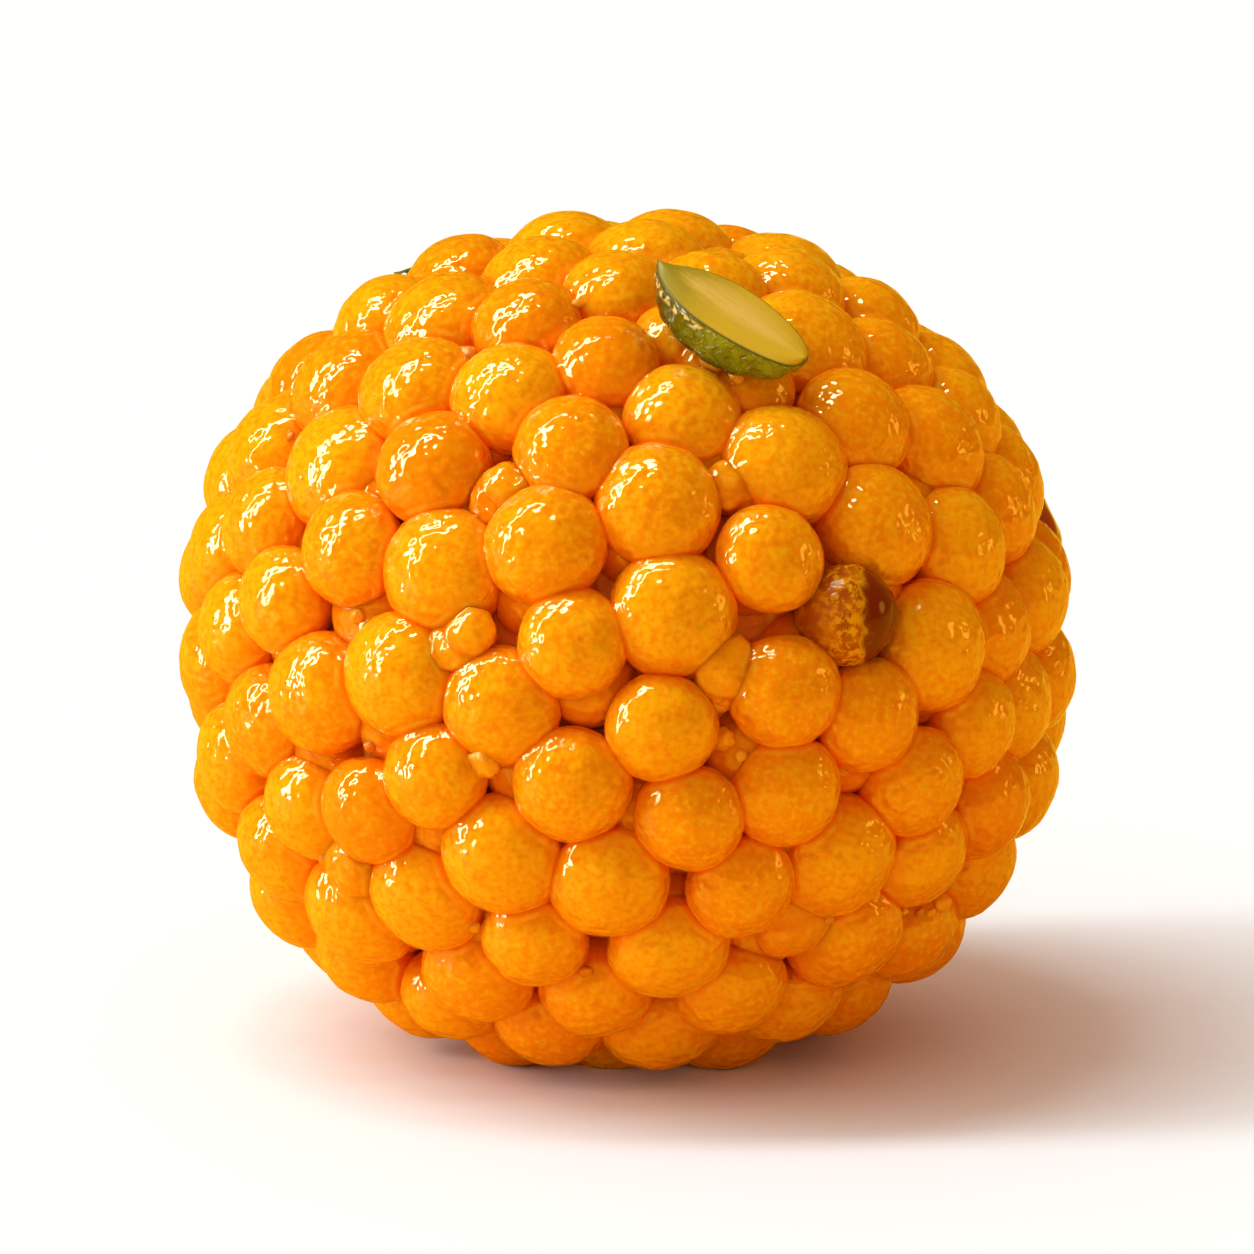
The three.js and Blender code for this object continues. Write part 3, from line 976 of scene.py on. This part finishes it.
def kernel_section(half_width, depth, crown):
    """A closed section: across the cut face, and back round the skin."""
    share = np.arange(HALF_SECTION) / HALF_SECTION
    top_y = half_width * np.cos(math.pi * share)
    top = np.stack([top_y, -crown * (top_y / max(half_width, 1e-6)) ** 2], axis=1)
    turn = math.pi * share
    back_y = -half_width * np.cos(turn) * (1 + BULGE * np.sin(turn) ** 2)
    back = np.stack([back_y, -crown - (depth - crown) * np.sin(turn)], axis=1)
    section = np.concatenate([top, back])
    for _ in range(ROUNDING_PASSES):
        section = (np.roll(section, 1, axis=0) + section * 2 + np.roll(section, -1, axis=0)) / 4
    return section


print("a kernel has", KERNEL_STATIONS - 2, "sections of", SECTION_POINTS, "points")

# %% Kernel faces
def kernel_faces(rows):
    """Quads between neighbouring sections, and a fan of triangles at each end."""
    ring = np.arange(SECTION_POINTS)
    after = (ring + 1) % SECTION_POINTS
    faces = []
    for row in range(rows - 1):
        here, there = row * SECTION_POINTS, (row + 1) * SECTION_POINTS
        faces += np.stack([here + ring, here + after, there + after, there + ring], axis=1).tolist()
    first, last = rows * SECTION_POINTS, rows * SECTION_POINTS + 1
    faces += [[first, int(b), int(a)] for a, b in zip(ring, after)]
    end = (rows - 1) * SECTION_POINTS
    faces += [[last, int(end + a), int(end + b)] for a, b in zip(ring, after)]
    return faces


def turn_outwards(piece):
    """Turns every face outwards."""
    shape = bmesh.new()
    shape.from_mesh(piece.data)
    bmesh.ops.recalc_face_normals(shape, faces=shape.faces)
    shape.to_mesh(piece.data)
    shape.free()


print("a kernel has", len(kernel_faces(KERNEL_STATIONS - 2)), "faces")

# %% Kernel mesh
TIP_SHARPNESS = (0.6, 0.2)  # the swell's power in the middle, and how much less and more it is at the ends
TIP_DROP = 0.2  # how far a tip lies below the cut face's end


def kernel_mesh(size, blunt_end):
    """A half kernel's points and faces, and its zones: four numbers for each point."""
    stations = np.cos(np.linspace(math.pi, 0, KERNEL_STATIONS))[1:-1]
    is_skin = np.arange(SECTION_POINTS) >= HALF_SECTION
    points = []
    zones = {"rim": [], "side": [], "along": [], "across": []}
    for s in stations:
        swell = (1 - s * s) ** (TIP_SHARPNESS[0] - TIP_SHARPNESS[1] * s * blunt_end)
        half_width = size["width"] / 2 * swell
        depth = CUT_CROWN + (size["depth"] - CUT_CROWN) * (1 - s * s) ** 0.5
        crown = CUT_CROWN * (1 - (1 - s * s) ** 0.5) + EDGE_CROWN
        section = kernel_section(half_width, depth, crown)
        points.append(np.column_stack([np.full(SECTION_POINTS, s * size["length"] / 2), section]))
        on_face = half_width - np.abs(section[:, 0])
        below_face = np.maximum(-section[:, 1] - crown, 0)
        zones["rim"].append(np.where(is_skin, below_face, on_face))
        zones["side"].append(np.where(is_skin, 1.0, 0.0))
        zones["along"].append(np.full(SECTION_POINTS, s * blunt_end))
        zones["across"].append(section[:, 0] * blunt_end)
    tip_x, tip_z = size["length"] / 2, -CUT_CROWN - TIP_DROP
    points.append(np.array([[-tip_x, 0, tip_z], [tip_x, 0, tip_z]]))
    at_tips = {"rim": [0, 0], "side": [1, 1], "along": [-blunt_end, blunt_end], "across": [0, 0]}
    zones = {label: np.concatenate([*zones[label], at_tips[label]]) for label in zones}
    return np.concatenate(points), kernel_faces(len(stations)), zones


print("a kernel has", len(kernel_mesh(PISTACHIO, 1)[0]), "points in all")

# %% [markdown]
# The cut face has fine fibres along the kernel. They are noise on a place made of the two zones across
# and along, drawn out along it, so they follow each kernel however it lies. The same fibres fray the
# edge of the cream middle, which sits a little to one side. On the skin, a painted highlight of pale
# notches lies in a band under the rim, near the tip only, and the part of the back that faces the pearls
# is painted almost black as shade.

# %% Kernel colours
CUT_OLIVE = (0.31, 0.29, 0.003, 1)
CUT_GOLDEN = (0.68, 0.49, 0.006, 1)
CUT_CREAM = (0.80, 0.59, 0.09, 1)
CUT_FIBRE = (0.52, 0.40, 0.01, 1)
CUT_EDGE = (0.05, 0.07, 0.003, 1)
CUT_SPECK = (0.40, 0.25, 0.01, 1)
PEEL_DARK_GREEN = (0.12, 0.17, 0.003, 1)
PEEL_GREEN = (0.20, 0.27, 0.005, 1)
PEEL_TIP = (0.05, 0.065, 0.002, 1)
# painted highlight: the pale notches under the rim
PEEL_NOTCH_HIGHLIGHT = (0.80, 0.76, 0.30, 1)
# painted shade: the back that faces the pearls
PEEL_BACK_SHADE = (0.02, 0.03, 0.002, 1)
KERNEL_BODY = {
    "Subsurface_Weight": 0.2,
    "Subsurface_Radius": (0.7, 0.8, 0.2),
    "Subsurface_Scale": 0.6 * MM,
    "IOR": 1.5,
    "Coat_IOR": 1.6,
    "Coat_Roughness": 0.06,
}
print("the cut face goes from", CUT_OLIVE[:3], "to", CUT_CREAM[:3])

# %% Kernel finish
def kernel_finish():
    finish = Finish("pistachio half", **KERNEL_BODY)
    place = finish.place()
    rim, skin = finish.number("rim"), finish.number("side")
    along, across = finish.number("along"), finish.number("across")
    patch = finish.grain(place, 1.1, 3.0, 0.6)
    fine = finish.grain(place, 0.22, 2.0)
    fibre_place = finish.node("ShaderNodeCombineXYZ", None, {"X": across, "Y": along * 0.7})
    fibre = finish.noise(fibre_place, 2.6, 2.0)
    to_cream = finish.step(rim + across * 0.35 + (fibre - 0.5) * 1.6, 0.9, 2.3)
    cut = finish.mix(finish.step(along + patch * 0.5, -0.7, 0.4), CUT_OLIVE, CUT_GOLDEN)
    cut = finish.mix(to_cream, cut, CUT_CREAM)
    cut = finish.mix(finish.step(fibre, 0.5, 0.72) * 0.35, cut, CUT_FIBRE)
    cut = finish.mix(finish.step(rim, 0.0, 0.2), CUT_EDGE, cut)
    cut = finish.mix(fine * 0.12, cut, CUT_SPECK)
    green = finish.mix(finish.step(patch, 0.35, 0.6), PEEL_DARK_GREEN, PEEL_GREEN)
    peel = finish.mix(finish.step(along, -0.7, 0.2), PEEL_TIP, green)
    notch = finish.step(finish.grain(place, 0.45, 1.0), 0.42, 0.56)
    # painted highlight: pale notches in a band under the rim, near the tip only
    notch_highlight_band = finish.step(rim, 0.12, 0.3) * finish.step(rim, 0.75, 0.5) * finish.step(along, 0.3, -0.2)
    peel = finish.mix(notch_highlight_band * notch * 0.9, peel, PEEL_NOTCH_HIGHLIGHT)
    # painted shade: the back that faces the pearls is almost black
    peel = finish.mix(finish.step(rim, 1.3, 2.4), peel, PEEL_BACK_SHADE)
    finish.paint("Base Color", finish.mix(skin, cut, peel))
    finish.paint("Roughness", 0.45 - skin * 0.33 + fine * 0.1)
    finish.paint("Coat Weight", 0.15 + skin * 0.85)
    finish.relief(fine * 0.02 + notch * skin * 0.1)
    return finish.material


KERNEL = kernel_finish()
print("finish:", KERNEL.name)

# %% Both kernels
WRINKLE_HEIGHT = 0.07  # at a kernel's depth from its middle
WRINKLES_PER_MM = 1.3
WRINKLE_OFFSET = Vector((9, 2, 5))
FACE_WRINKLE = 0.4  # the least wrinkling, on the cut face


def kernel(name, node, blunt_end):
    """One half kernel in its topping's place."""
    points, faces, zones = kernel_mesh(PISTACHIO, blunt_end)
    wrinkled = []
    for point, part in zip(points, zones["side"]):
        wave = noise.noise(Vector(point) * WRINKLES_PER_MM + WRINKLE_OFFSET) * (FACE_WRINKLE + part)
        wrinkled.append(point * (1 + wave * WRINKLE_HEIGHT / PISTACHIO["depth"]))
    piece = mesh_piece(name, on_ball(node, np.array(wrinkled)), faces, **zones)
    turn_outwards(piece)
    piece.data.materials.append(KERNEL)
    belongs(piece, "pistachio", node)


kernel("pistachio_front_kernel", "pistachio_half_front", 1)
kernel("pistachio_back_kernel", "pistachio_half_back", -1)

# %% [markdown]
# ## The raisins
# The amber raisin carries an amber crust of set syrup over the left two thirds of its face, speckled with
# gold and ending in a ragged golden edge. The rest is bare skin, dark maroon and as glossy as glass. The
# red one is plump and kidney-shaped, with a few long wrinkles. Both start from a cube sphere, and noise
# from Blender's own library shapes them.

# %% Helpers for raisins
RAISIN_FACETS = 44


def waves(points, size, offset):
    """Soft noise from -1 to 1 at points in millimetres, with waves of about this size."""
    return np.array([noise.noise(Vector(point) / size + Vector(offset)) for point in points])


def raisin_ball(size):
    """A raisin's plain body in its topping's frame, and its directions."""
    directions, faces = cube_sphere(RAISIN_FACETS)
    half = np.array([size["length"], size["width"], size["depth"]]) / 2
    return directions * half - [0, 0, half[2]], directions, faces


print("a raisin has", 6 * RAISIN_FACETS**2, "faces")

# %% The amber raisin's finish
AMBER_DARK = (0.36, 0.07, 0.001, 1)
AMBER = (0.55, 0.17, 0.002, 1)
AMBER_GOLD = (0.78, 0.40, 0.003, 1)
RAISIN_MAROON = (0.17, 0.007, 0.002, 1)
AMBER_BODY = {
    "Subsurface_Weight": 0.25,
    "Subsurface_Radius": (1.0, 0.35, 0.1),
    "Subsurface_Scale": 0.8 * MM,
    "IOR": 1.5,
    "Specular_Tint": (1, 0.9, 0.6, 1),
}


def amber_finish():
    finish = Finish("syrup-crusted raisin", **AMBER_BODY)
    place = finish.place()
    crust = finish.number("crust")
    fleck = finish.step(finish.grain(place, 0.4, 3.0, 0.65), 0.42, 0.62)
    patch = finish.grain(place, 0.8, 2.0)
    edge = finish.step(crust, 0.15, 0.5) * (1 - finish.step(crust, 0.6, 0.99))
    amber = finish.mix(finish.step(patch, 0.35, 0.65), AMBER_DARK, AMBER)
    golden = fleck * finish.step(finish.number("right"), -0.9, 0.15)
    amber = finish.mix(finish.step(golden * 0.8 + edge, 0.1, 0.9), amber, AMBER_GOLD)
    finish.paint("Base Color", finish.mix(crust, RAISIN_MAROON, amber))
    finish.paint("Roughness", 0.1 + crust * 0.08)
    finish.relief(finish.grain(place, 0.4, 1.0) * crust * 0.06)
    return finish.material


AMBER_SKIN = amber_finish()
print("finish:", AMBER_SKIN.name)

# %% The amber raisin
CRUST_END = 0.36  # how far right the crust reaches, as a share of half the raisin
CRUST_CRISPNESS = 28
CRUST_HEIGHT = 0.05
GRIT_HEIGHT = 0.03
AMBER_FOLD = 0.06
points, directions, faces = raisin_ball(AMBER_RAISIN)
ragged = waves(points, 0.8, (3, 1, 4)) * 0.12 + waves(points, 0.3, (8, 1, 4)) * 0.06
right = (directions @ topping_place("raisin_amber")[0])[:, 0]
crust = 1 / (1 + np.exp((right - CRUST_END + ragged) * CRUST_CRISPNESS))
grit = waves(points, 0.5, (5, 9, 2)) * GRIT_HEIGHT + CRUST_HEIGHT
folds = waves(points, 1.8, (1, 7, 3)) * AMBER_FOLD
points = on_ball("raisin_amber", points + directions * (crust * grit + folds)[:, None])
raisin = mesh_piece("raisin_amber_fruit", points, faces, crust=crust, right=right)
raisin.data.materials.append(AMBER_SKIN)
belongs(raisin, "amber_raisin", "raisin_amber")

# %% The red raisin's finish
RAISIN_WINE = (0.22, 0.004, 0.004, 1)
RAISIN_RED = (0.48, 0.022, 0.014, 1)
RED_BODY = {
    "Subsurface_Weight": 0.3,
    "Subsurface_Radius": (1.0, 0.12, 0.08),
    "Subsurface_Scale": 0.9 * MM,
    "IOR": 1.5,
    "Coat_Weight": 0.8,
    "Coat_IOR": 1.5,
    "Coat_Roughness": 0.05,
}


def red_finish():
    finish = Finish("glossy red raisin", **RED_BODY)
    place = finish.place()
    patch = finish.grain(place, 1.4, 3.0)
    finish.paint("Base Color", finish.mix(patch, RAISIN_WINE, RAISIN_RED))
    finish.paint("Roughness", 0.14 + patch * 0.12)
    finish.relief(finish.cells(place, 0.7, "SMOOTH_F1") * 0.06)
    return finish.material


RED_SKIN = red_finish()
print("finish:", RED_SKIN.name)

# %% The red raisin
RED_BEND = 0.5
LONG_FOLD = 0.16
SOFT_FOLD = 0.15
points, directions, faces = raisin_ball(RED_RAISIN)
points[:, 1] -= RED_BEND * (1 - (points[:, 0] / (RED_RAISIN["length"] / 2)) ** 2) - RED_BEND / 2
folds = waves(points * [0.35, 1, 1], 0.8, (2, 5, 8)) * LONG_FOLD + waves(points, 2.2, (6, 6, 1)) * SOFT_FOLD
points = on_ball("raisin_red", points + directions * folds[:, None])
raisin = mesh_piece("raisin_red_fruit", points, faces)
raisin.data.materials.append(RED_SKIN)
belongs(raisin, "red_raisin", "raisin_red")

# %% [markdown]
# ## Floor, light and camera
# A sweet in a pile of sweets stands in warm light, even on white paper, because its neighbours throw
# orange light at it from all sides. Here it stands alone, so the floor and the room do that: they look
# white to the camera, and warm to every ray that lights the ball or mirrors in it. The camera stands low,
# 13 degrees above the level, with a long lens.

# %% Floor
FLOOR_SIDE = 12.0
PAPER_SEEN = (0.86, 1.0, 1.0, 1)
PAPER_AS_LIGHT = (0.88, 0.54, 0.012, 1)
edge = FLOOR_SIDE / 2
floor_mesh = bpy.data.meshes.new("floor")
floor_corners = [(-edge, -edge, 0), (edge, -edge, 0), (edge, edge, 0), (-edge, edge, 0)]
floor_mesh.from_pydata(floor_corners, [], [(0, 1, 2, 3)])
floor = bpy.data.objects.new("floor", floor_mesh)
bpy.context.scene.collection.objects.link(floor)
paper = Finish("white paper", Roughness=0.6, Specular_IOR_Level=0.1)
seen = paper.node("ShaderNodeLightPath", out="Is Camera Ray")
paper.paint("Base Color", paper.mix(seen, PAPER_AS_LIGHT, PAPER_SEEN))
floor_mesh.materials.append(paper.material)
floor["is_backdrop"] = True
print("floor:", FLOOR_SIDE, "m square")

# %% [markdown]
# The light comes from a strip of eight lamps that arches over the ball's left side, from just above the
# table to almost overhead, level with the ball as the camera sees it. Each lamp mirrors as a crisp dash
# on a wave of the skin, and together they light the ball softly from the left. A weak orange lamp low on
# the right picks out the pearls' right rims. The room gives the left side more light than the right.

# %% Lamps
def sun(name, direction, strength, width, colour=(1, 1, 1)):
    """A wide, distant light that comes from a direction."""
    data = bpy.data.lights.new(name, "SUN")
    data.energy = strength
    data.angle = math.radians(width)
    data.color = colour
    lamp = bpy.data.objects.new(name, data)
    bpy.context.scene.collection.objects.link(lamp)
    lamp.rotation_mode = "QUATERNION"
    lamp.rotation_quaternion = Vector(direction).to_track_quat("Z", "Y")


LAMP_COUNT = 8
LAMP_WIDTH = 11  # in degrees, as seen from the ball
LAMP_SPACING = 11
LAMP_STRENGTH = 0.37
LAMP_COLOUR = (0.94, 0.98, 1.08)
STRIP_MIDDLE = (-177, 43)  # degrees round and up
RIM_LIGHT = {"direction": direction_at(5, 12), "strength": 0.15, "width": 16, "colour": (1, 0.58, 0.10)}
CAMERA_UP = 13
towards_camera = Vector(direction_at(-90, CAMERA_UP))
strip_middle = Vector(direction_at(*STRIP_MIDDLE))
for number in range(LAMP_COUNT):
    turn = Quaternion(towards_camera, math.radians((number - (LAMP_COUNT - 1) / 2) * LAMP_SPACING))
    sun(f"lamp {number}", turn @ strip_middle, LAMP_STRENGTH, LAMP_WIDTH, LAMP_COLOUR)
sun("rim light", **RIM_LIGHT)
print(LAMP_COUNT, "lamps and a rim light")

# %% The room
AMBIENT_LEFT = (0.97, 0.74, 0.62, 1)
AMBIENT_RIGHT = (0.28, 0.12, 0.09, 1)
MIRRORED = (0.45, 0.22, 0.006, 1)
ROOM_SEEN = (1, 1, 1, 1)
world = bpy.data.worlds.new("white room")
world.use_nodes = True
room = Tree(world.node_tree)
way = room.node("ShaderNodeTexCoord", out="Generated")
rightwards = room.node("ShaderNodeSeparateXYZ", None, {"Vector": way}, "X")
ambient = room.mix(room.step(rightwards, -0.5, 0.9), AMBIENT_LEFT, AMBIENT_RIGHT)
ambient = room.mix(room.node("ShaderNodeLightPath", out="Is Glossy Ray"), ambient, MIRRORED)
ambient = room.mix(room.node("ShaderNodeLightPath", out="Is Camera Ray"), ambient, ROOM_SEEN)
room.feed(world.node_tree.nodes["Background"].inputs["Color"], ambient)
bpy.context.scene.world = world
bpy.context.scene.view_settings.view_transform = "Standard"
print("room:", world.name)

# %% Camera
CAMERA_DISTANCE = 847
FRAME_SHARE = 0.72  # how much of the picture's width the ball takes
CLIP_START = 0.01
CLIP_END = 50
low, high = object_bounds()
middle = (low + high) / 2
lens = bpy.data.cameras.new("camera")
lens.lens = lens.sensor_width * CAMERA_DISTANCE * FRAME_SHARE / BALL_WIDTH
camera = bpy.data.objects.new("camera", lens)
bpy.context.scene.collection.objects.link(camera)
camera.location = middle + towards_camera * CAMERA_DISTANCE * MM
camera.rotation_mode = "QUATERNION"
camera.rotation_quaternion = towards_camera.to_track_quat("Z", "Y")
lens.clip_start, lens.clip_end = CLIP_START, CLIP_END
bpy.context.scene.camera = camera
print(f"lens {lens.lens:.0f} mm")

# %% [markdown]
# ## The size
# Both boxes are printed: the solids' and that of what is made here. Nothing made here may grow past the
# solids by more than soft parts may.

# %% Sizes
visual_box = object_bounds()
for label, box in (("solids", cad_box), ("visual", visual_box)):
    print(label, [[round(value / MM, 2) for value in corner] for corner in box])
